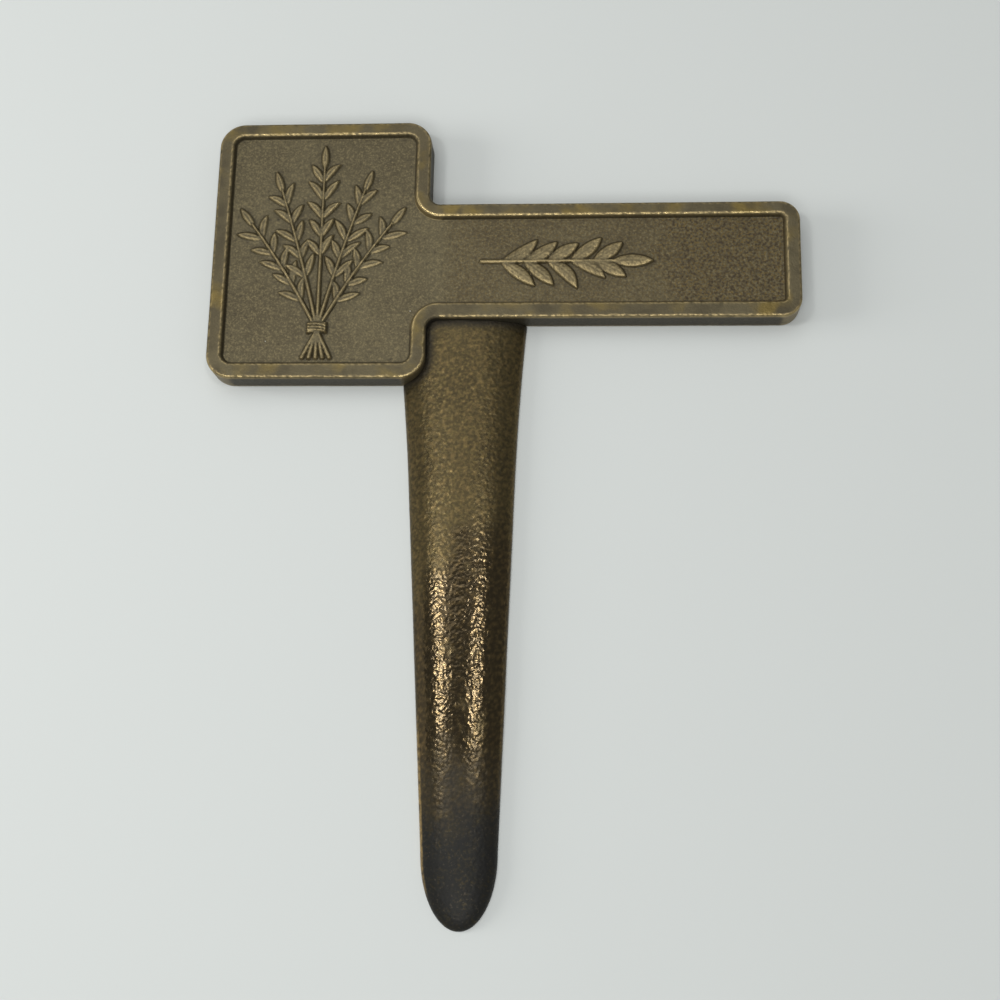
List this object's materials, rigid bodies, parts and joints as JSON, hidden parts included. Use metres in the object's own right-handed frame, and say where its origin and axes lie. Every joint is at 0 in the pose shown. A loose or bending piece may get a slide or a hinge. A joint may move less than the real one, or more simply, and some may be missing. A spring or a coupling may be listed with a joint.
{
  "type": "plant label stake",
  "caption": "Cast brass plant label: a bordered panel with a leafy relief beside a name bar, on a flat-backed half-oval stake that is pushed into the soil.",
  "frame": {"origin": "on the flat back, under the middle of the label's bounding box, with the label lying on its back", "axes": "+X along the name bar away from the panel, +Y up the stake towards the panel's top edge, +Z out of the face"},
  "size_m": [0.0942, 0.1274, 0.0045],
  "materials": {
    "plate_brass": "cast brass with an olive brown patina, rubbed bright along its edges",
    "stake_brass": "coarse sand-cast brass with a golden brown patina",
    "pin_brass": "brass wire, headed over and dressed flat"
  },
  "bodies": {
    "root": {"name_plate": "plate_brass", "stake": "stake_brass", "rivet_pins": "pin_brass"}
  },
  "joints": []
}
